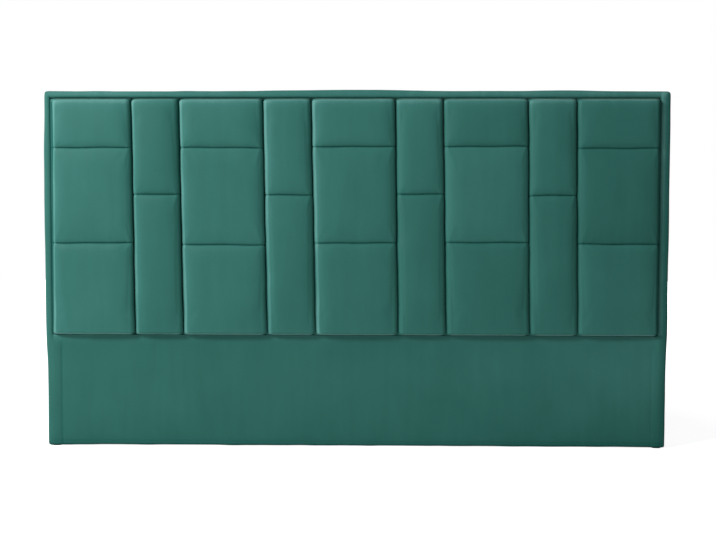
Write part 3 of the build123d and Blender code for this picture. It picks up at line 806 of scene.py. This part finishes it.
class Base:
    """The velvet base in numbers: its cover, its places, its painted shade, and its nap tone and
    painted light.
    """

    def __init__(self):
        fine = (0.0, 0.0008, 0.0025, 0.0050, 0.0085)
        reach = half_width - edge_round
        columns = rulings(-reach, reach, base_column_step, [pocket_left, pocket_right], fine)
        beside_ridges = (0.020, 0.025, 0.030, 0.035, 0.040, 0.0445, 0.046, 0.0475, 0.053)
        extra = [way * (half_width - gap) for gap in beside_ridges for way in (-1, 1)]
        columns = np.unique(np.round(np.concatenate([columns, extra]), 6))
        foot, top = cover_foot + edge_round, top_edge - edge_round
        marks = [hem_height, pocket_low]
        lower = rulings(foot, pocket_low, panel_row_step, marks, (0.0, 0.0014, 0.003))
        upper = rulings(pocket_low + 0.0007, top, border_row_step, [pocket_top], fine)
        rings = wrap_profile(edge_round, edge_round, base_turn, arcs=6, sides=6, turns=3)
        self.cover = cover = Cover(columns, np.concatenate([lower, upper]), rings)
        self.beside = np.maximum(pocket_left - cover.base_x, cover.base_x - pocket_right)
        self.above = cover.base_z - pocket_top
        self.below = np.clip(pocket_low - cover.base_z, 0, 1)
        self.panel = (cover.base_z < pocket_low) & cover.forward
        self.border = (cover.base_z > pocket_low) & (cover.angle == 0)
        self.pocket = (cover.base_z > pocket_low - 0.001) & (self.above < 0.0004)
        self.pocket &= (self.beside < 0.0012) & (cover.angle == 0)

    def places(self):
        """Where the velvet lies: a little slack, swollen at the sides, and raised at the top."""
        cover = self.cover
        y = cover.depth(base_front(cover.base_x, cover.base_z), cover_back)
        points = np.stack([cover.x, y, cover.z], -1)
        shown = (cover.base_z < pocket_low) | (self.beside > 0) | (self.above > 0)
        loose = shown * (cover.angle < 3) * np.clip(1 - cover.share, 0.25, 1)
        drape = ripples(11, cover.x, cover.z, 0.17, 0.0005, 1.3)
        drape += ripples(12, cover.x, cover.z, 0.055, 0.00018, 2.0)
        most_inward = 0.0004
        drape = np.where(drape < 0, most_inward * np.tanh(drape / most_inward), drape)
        points += cover.normal * (drape * loose)[:, None]
        left = left_swell * (1 - smooth(cover.z, 0.95, 1.09))
        right = right_swell * (1 - 0.4 * smooth(cover.z, 1.0, 1.1))
        swell = np.where(cover.x < 0, -left, right) * smooth(cover.z, 0.24, 0.43)
        points[:, 0] += swell * smooth(np.abs(cover.x), 0.980, 0.998) * (1 - cover.share)
        rise = middle_rise * np.exp(-((cover.x + 0.01) / 0.24) ** 2)
        rise += right_rise * np.exp(-((cover.x - 0.66) / 0.14) ** 2)
        points[:, 2] += rise * smooth(cover.z, 1.128, top_edge) * (1 - cover.share)
        foot = smooth(-cover.z, -0.036, -0.012)
        inner = smooth(-np.abs(cover.x), -feet_inside - 0.004, -feet_inside + 0.002)
        points[:, 2] += between_feet_lift * foot * inner
        middle = top_edge / 2
        x, z = rounded_corner(points[:, 0], points[:, 2] - middle, half_width, middle, base_corner)
        upper_half = points[:, 2] > 0.5
        points[:, 0] = np.where(upper_half, x, points[:, 0])
        points[:, 2] = np.where(upper_half, z + middle, points[:, 2])
        ear = np.exp(-((cover.x - 0.9935) / 0.0045) ** 2) * smooth(cover.z, 1.138, 1.146)
        points[:, 2] += corner_rise * ear
        return points

    def painted_shade(self):
        """Painted shade: in the pocket, on its rim, under the strips, low on the panel, at the foot
        and the hem, and along the right edge, with a dark spot at the top left corner.
        """
        cover, below = self.cover, self.below
        # Painted shade on the pocket's floor, weak in the top groove
        floor = self.pocket * np.where(self.above > top_groove, 0.10, 1.0)
        # Painted shade on the border's rim next to the pocket: weak above it, strong beside it
        depth = np.where(self.above > self.beside, 0.10, 0.85)
        outside = np.clip(np.maximum(self.beside, self.above), 0, 1)
        rim = self.border * depth * np.exp(-(outside / 0.0042) ** 2)
        # Painted shadow under the strips, weaker to the right
        under = 0.32 * smooth(below, 0.008, 0.034) * np.exp(-below / 0.055)
        under *= (np.abs(cover.base_x) < 0.97) * (1 - 0.5 * smooth(cover.base_x, 0.0, 0.9))
        # Painted shade at the foot of the left ridge, below the strips
        ridge_foot_shade = 0.40 * np.exp(-((cover.base_x + 0.954) / 0.0022) ** 2) * smooth(below, 0.015, 0.035)
        # Painted shade at the panel's bottom edge, darker towards the bottom
        foot_shade = 0.90 * np.exp(-(cover.z - cover_foot) / 0.0080) + 0.14 * np.exp(-cover.z / 0.035)
        # Painted shade along the hem line
        hem = 0.18 * np.exp(-((cover.base_z - hem_height) / 0.0018) ** 2)
        # Painted shade low on the panel, darker towards the right
        lower_right_shade = (0.09 + 0.17 * smooth(cover.base_x, 0.2, 0.8)) * smooth(-cover.base_z, -0.17, -0.02)
        low = self.panel * np.clip(under + ridge_foot_shade + foot_shade + hem + lower_right_shade, 0, 1)
        facing = cover.forward * (1 - smooth(cover.share, 0.0, 0.25))
        # A dark spot at the top left corner
        corner_dark_spot = np.exp(-((cover.x + 0.9965) / 0.004) ** 2 - ((cover.z - 1.1435) / 0.004) ** 2)
        # Painted shade along the outer right edge
        right_edge_shade = 0.70 * smooth(cover.x, 0.985, 0.998)
        return np.maximum.reduce([floor, rim, low, 0.9 * corner_dark_spot * facing, right_edge_shade * facing])

    def nap_and_painted_light(self):
        """Nap tone and painted light, lighter above 0 and darker below it: on the border and its top,
        in and above the top groove, under the strips and over the panel.
        """
        cover, above = self.cover, self.above
        x, z = cover.base_x, cover.base_z
        top = cover.forward * (above > 0)
        # Painted light: the border a little lighter, the panel a little darker
        nap_and_painted_light = np.where(z > pocket_low, 0.05, -0.05)
        # Painted highlight on the top edge, a little stronger to the right
        nap_and_painted_light += 0.19 * smooth(cover.z, 1.127, 1.143) * top
        nap_and_painted_light += 0.05 * smooth(cover.x, 0.2, 0.8) * top
        # Painted light above the top groove and on its floor, lightening their shade
        nap_and_painted_light += 0.24 * self.border * (above > self.beside) * np.exp(-np.clip(above, 0, 1) / 0.006)
        nap_and_painted_light += 0.30 * self.pocket * (above > top_groove)
        # Painted light on the right border, which lies in the strips' shadow
        right_border = smooth(x, 0.969, 0.971) * smooth(-x, -0.991, -0.983)
        nap_and_painted_light += 0.30 * right_border * (z > pocket_low)
        # Painted light and shade on the panel: lighter to the right, on its left edge and in its upper
        # right part, darker to the left and at its right edge
        nap_and_painted_light += self.panel * (0.06 * smooth(x, 0.55, 0.95) - 0.05 * smooth(-x, 0.2, 0.6))
        nap_and_painted_light += self.panel * (0.12 * smooth(-x, 0.955, 0.985) - 0.14 * smooth(x, 0.955, 0.972))
        nap_and_painted_light += self.panel * 0.14 * smooth(x, 0.15, 0.5) * smooth(z, 0.14, 0.28)
        # Painted light just below the strips' feet, lightening their shadow, weaker to the right
        under_strips = self.panel * (cover.angle == 0) * (self.beside < 0)
        nap_and_painted_light += under_strips * (0.42 - 0.30 * smooth(x, -0.4, 0.9)) * np.exp(-self.below / 0.010)
        return nap_and_painted_light


def add_base(velvet):
    """The velvet base, which stands for the base's cover and the foams under it."""
    base = Base()
    marks = {"painted_shade": base.painted_shade(), "nap_and_painted_light": base.nap_and_painted_light()}
    piece = add_piece("velvet_base", base.places(), base.cover.faces, velvet, marks, levels=1)
    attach(piece, "root")
    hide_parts("base_cover", "left_edge_foam", "right_edge_foam", "top_edge_foam", "lower_foam")


# Dust cover on the back

def add_dust_sheet(cloth):
    """The sheet of thin black cloth over the back of the frame, open at the bolt inserts."""
    low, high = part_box("dust_cover")
    holes = [(side, level) for side in insert_sides for level in insert_levels]
    radius = 0.006
    block = 0.007
    hair = 0.0001
    columns = rulings(low.x, high.x, dust_step, insert_sides, (0.0, block / 2, block))
    rows = rulings(low.z, high.z, dust_step, insert_levels, (0.0, block / 2, block))
    across, up = np.meshgrid(columns, rows, indexing="ij")
    index = np.arange(across.size).reshape(across.shape)
    corners = [index[:-1, :-1], index[:-1, 1:], index[1:, 1:], index[1:, :-1]]
    faces = np.stack(corners, -1).reshape(-1, 4)
    x, z = across.ravel().copy(), up.ravel().copy()
    keep = np.ones(len(faces), bool)
    for hole_x, hole_z in holes:
        gap_x, gap_z = x - hole_x, z - hole_z
        near = np.maximum(np.abs(gap_x), np.abs(gap_z))
        rim = np.abs(near - block) < hair
        middles = np.abs([x[faces].mean(1) - hole_x, z[faces].mean(1) - hole_z])
        keep &= middles.max(0) > block - hair
        length = np.maximum(np.hypot(gap_x, gap_z), 1e-9)
        x = np.where(rim, hole_x + gap_x / length * radius, x)
        z = np.where(rim, hole_z + gap_z / length * radius, z)
    faces = faces[keep]
    used = np.unique(faces)
    renumber = np.full(len(x), -1)
    renumber[used] = np.arange(len(used))
    x, z, faces = x[used], z[used], renumber[faces]
    edge = np.minimum.reduce([x - low.x, high.x - x, z - low.z, high.z - z])
    slack = ripples(21, x, z, 0.34, 0.0011, 1.8) + ripples(22, x, z, 0.09, 0.0003, 1.4)
    inner = smooth(edge, 0.028, 0.09)
    most_sag = 0.0014
    sag = most_sag * np.tanh((slack - 0.0004) / most_sag)
    y = low.y + 0.0004 + inner * sag + 0.0003 * (1 - smooth(edge, 0.017, 0.019))
    piece = add_piece("dust_sheet", np.stack([x, y, z], -1), faces, cloth)
    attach(piece, "root")
    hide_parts("dust_cover")


# Staples, in rows that follow the back's edge

def staple_rows():
    """Geometry nodes that set staples along four rows on the back."""
    group = bpy.data.node_groups.new("staple_rows", "GeometryNodeTree")
    sizes = ["Reach", "Low", "High", "Spacing", "Crown", "Width", "Wire", "Leg", "Seat", "Tilt"]
    group.interface.new_socket("Geometry", in_out="INPUT", socket_type="NodeSocketGeometry")
    for name in sizes:
        group.interface.new_socket(name, in_out="INPUT", socket_type="NodeSocketFloat")
    group.interface.new_socket("Seed", in_out="INPUT", socket_type="NodeSocketInt")
    group.interface.new_socket("Material", in_out="INPUT", socket_type="NodeSocketMaterial")
    group.interface.new_socket("Geometry", in_out="OUTPUT", socket_type="NodeSocketGeometry")
    tree = Tree(group.nodes, group.links)
    given = tree.node("NodeGroupInput").socket.node
    value = {socket.name: Signal(tree, socket) for socket in given.outputs if socket.name}

    # One staple: a crown and two legs of flat wire, with bent corners
    number = tree.node("GeometryNodeInputIndex")
    side = ((number > 1.5) * 2 - 1) * (value["Crown"] - value["Wire"]) * 0.5
    sunk = (abs(number - 1.5) > 1.0) * value["Leg"] * -1
    bar = tree.node("GeometryNodeMeshLine", {"Count": 4})
    place = tree.node("ShaderNodeCombineXYZ", {0: side, 1: 0.0, 2: sunk - value["Wire"] * 0.5})
    bent = tree.node("GeometryNodeSetPosition", {"Geometry": bar, "Position": place})
    path = tree.node("GeometryNodeMeshToCurve", {"Mesh": bent})
    bends = {"Curve": path, "Radius": value["Wire"] * 0.9, "Count": 2}
    path = tree.node("GeometryNodeFilletCurve", bends, mode="POLY")
    size = {"Width": value["Width"], "Height": value["Wire"]}
    section = tree.node("GeometryNodeCurvePrimitiveQuadrilateral", size)
    corners = {"Curve": section, "Radius": value["Wire"] * 0.25, "Count": 1}
    section = tree.node("GeometryNodeFilletCurve", corners, mode="POLY")
    upended = {"Geometry": section, "Rotation": (0.0, 0.0, math.pi / 2)}
    turned = tree.node("GeometryNodeTransform", upended)
    sweep = {"Curve": path, "Profile Curve": turned, "Fill Caps": True}
    staple = tree.node("GeometryNodeCurveToMesh", sweep)

    # Two upright rows and two level ones
    half = value["Spacing"] * 0.5
    rows = []
    for turn, ends in (
        (math.pi / 2, [(way, -1, way, 1) for way in (-1, 1)]),
        (0.0, [(-1, way, 1, way) for way in (-1, 1)]),
    ):
        for start_x, start_z, end_x, end_z in ends:
            upright = turn > 0
            trim = (0.0, half) if upright else (half, 0.0)
            corner = []
            for way_x, way_z in ((start_x, start_z), (end_x, end_z)):
                level = value["High"] if way_z > 0 else value["Low"]
                x = (value["Reach"] - trim[0]) * way_x
                z = level - trim[1] * way_z
                corner.append(tree.node("ShaderNodeCombineXYZ", {0: x, 1: value["Seat"], 2: z}))
            length = value["High"] - value["Low"] if upright else value["Reach"] * 2
            count = ((length - value["Spacing"]) / value["Spacing"]).rounded() + 1
            line = tree.node(
                "GeometryNodeMeshLine",
                {"Count": count, "Start Location": corner[0], "Offset": corner[1]},
                mode="END_POINTS", count_mode="TOTAL",
            )
            shaken = tree.node(
                "FunctionNodeRandomValue",
                {2: value["Tilt"] * -1, 3: value["Tilt"], "Seed": value["Seed"]},
                output=1, data_type="FLOAT",
            )
            angle = tree.node("ShaderNodeCombineXYZ", {0: -math.pi / 2, 1: shaken + turn, 2: 0.0})
            rows.append(tree.node(
                "GeometryNodeInstanceOnPoints", {"Points": line, "Instance": staple, "Rotation": angle}
            ))
    joined = group.nodes.new("GeometryNodeJoinGeometry")
    for row in rows:
        group.links.new(row.socket, joined.inputs[0])
    real = tree.node("GeometryNodeRealizeInstances", {0: Signal(tree, joined.outputs[0])})
    painted = tree.node("GeometryNodeSetMaterial", {"Geometry": real, "Material": value["Material"]})
    tree.node("NodeGroupOutput", {0: painted})
    return group


def add_staples(name, rows, node, material, **sizes):
    """Staples from the rows' nodes as a plain mesh, in the place of a CAD node."""
    piece = bpy.data.objects.new(name, bpy.data.meshes.new(name))
    scene.collection.objects.link(piece)
    maker = piece.modifiers.new("rows", "NODES")
    maker.node_group = rows
    for socket in rows.interface.items_tree:
        if socket.in_out == "INPUT" and socket.name in sizes:
            maker[socket.identifier] = sizes[socket.name]
        elif socket.in_out == "INPUT" and socket.name == "Material":
            maker[socket.identifier] = material
    ready = piece.evaluated_get(bpy.context.evaluated_depsgraph_get())
    piece.data = bpy.data.meshes.new_from_object(ready)
    piece.modifiers.remove(maker)
    if not piece.data.materials:
        piece.data.materials.append(material)
    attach(piece, "root")
    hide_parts(node)


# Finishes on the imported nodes

def dress_nodes(finishes):
    """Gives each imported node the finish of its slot."""
    level = ("rail", "corner_blocks", "top_border_batten")
    for name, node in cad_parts.items():
        slot = node.data.materials[0].name if node.data.materials else ""
        if slot == "timber" and any(word in name for word in level):
            slot = "level_timber"
        if slot in finishes:
            node.data.materials.clear()
            node.data.materials.append(finishes[slot])


# Stage and light

def add_stage():
    """A white floor that keeps the object's shadow, under an even white surround."""
    mesh = bpy.data.meshes.new("floor")
    mesh.from_pydata([(-9, -9, 0), (9, -9, 0), (9, 9, 0), (-9, 9, 0)], [], [(0, 1, 2, 3)])
    floor = bpy.data.objects.new("floor", mesh)
    scene.collection.objects.link(floor)
    paint = Finish("floor_white")
    seen = paint.node("ShaderNodeLightPath")
    speck = paint.noise(2.0)
    white = paint.ramp(speck, [(0.0, (0.80, 0.80, 0.80)), (1.0, (0.82, 0.82, 0.82))])
    matt = paint.node("ShaderNodeBsdfDiffuse", {0: white})
    far = paint.node("ShaderNodeVectorMath", {0: paint.place}, output=1, operation="LENGTH")
    power = seen * (0.84 + (far * 0.22 - 0.28).clamped())
    glow = paint.node("ShaderNodeEmission", {0: (1, 1, 1, 1), 1: power})
    both = paint.node("ShaderNodeAddShader", {0: matt, 1: glow})
    paint.node("ShaderNodeOutputMaterial", {0: both})
    mesh.materials.append(paint.material)

    world = bpy.data.worlds.new("surround")
    world.use_nodes = True
    scene.world = world
    sky = Tree(world.node_tree.nodes, world.node_tree.links)
    sky.nodes.clear()
    path = sky.nodes.new("ShaderNodeLightPath")
    plain = sum(
        (Signal(sky, path.outputs[name]) for name in ("Is Glossy Ray", "Is Transmission Ray")),
        Signal(sky, path.outputs["Is Camera Ray"]),
    )
    strength = 0.15 + plain.clamped() * 0.85
    air = sky.node("ShaderNodeBackground", {0: (1, 1, 1, 1), 1: strength})
    sky.node("ShaderNodeOutputWorld", {0: air})


def add_lamp(name, place, aim, size, power, colour=(1, 1, 1)):
    """A square area lamp that faces a point."""
    lamp = bpy.data.lights.new(name, "AREA")
    lamp.shape = "SQUARE"
    lamp.size = size
    lamp.energy = power
    lamp.color = colour
    holder = bpy.data.objects.new(name, lamp)
    scene.collection.objects.link(holder)
    gap = Matrix.Translation(place).translation - Matrix.Translation(aim).translation
    holder.matrix_world = Matrix.Translation(place) @ gap.to_track_quat("Z", "Y").to_matrix().to_4x4()


velvet = velvet_finish()
finishes = {
    "timber": timber_finish("upright_timber", 2),
    "level_timber": timber_finish("level_timber_run", 0),
    "plywood": plywood_finish(),
    "zinc_steel": steel_finish("zinc_plate", (0.60, 0.61, 0.62), 0.36, 420.0),
    "staple_steel": steel_finish("staple_wire", (0.66, 0.66, 0.66), 0.30, 900.0),
    "dust_cloth": dust_cloth_finish(),
    "glide_plastic": glide_finish(),
}

add_camera()
add_stage()
add_lamp("key", (-3.1, -2.4, 2.7), (-0.1, 0.0, 0.6), 1.2, 185)
add_lamp("fill", (1.6, -3.6, 1.2), (0.2, 0.0, 0.5), 2.4, 8)
add_lamp("low_fill", (0.1, -3.2, 0.30), (0.1, 0.0, 0.4), 1.6, 7)
add_strips(velvet)
add_base(velvet)
add_dust_sheet(finishes["dust_cloth"])
rows = staple_rows()
add_staples(
    "dust_sheet_staples", rows, "dust_cover_staples", finishes["staple_steel"],
    Reach=0.974, Low=0.0285, High=1.122, Spacing=0.085, Crown=0.011, Width=0.0012, Wire=0.0007,
    Leg=0.008, Seat=0.0596, Tilt=0.06, Seed=3,
)
add_staples(
    "velvet_staples", rows, "cover_staples", finishes["staple_steel"],
    Reach=0.967, Low=0.0355, High=1.115, Spacing=0.105, Crown=0.011, Width=0.0012, Wire=0.0007,
    Leg=0.008, Seat=0.0581, Tilt=0.06, Seed=5,
)
dress_nodes(finishes)
scene.view_settings.view_transform = "Standard"
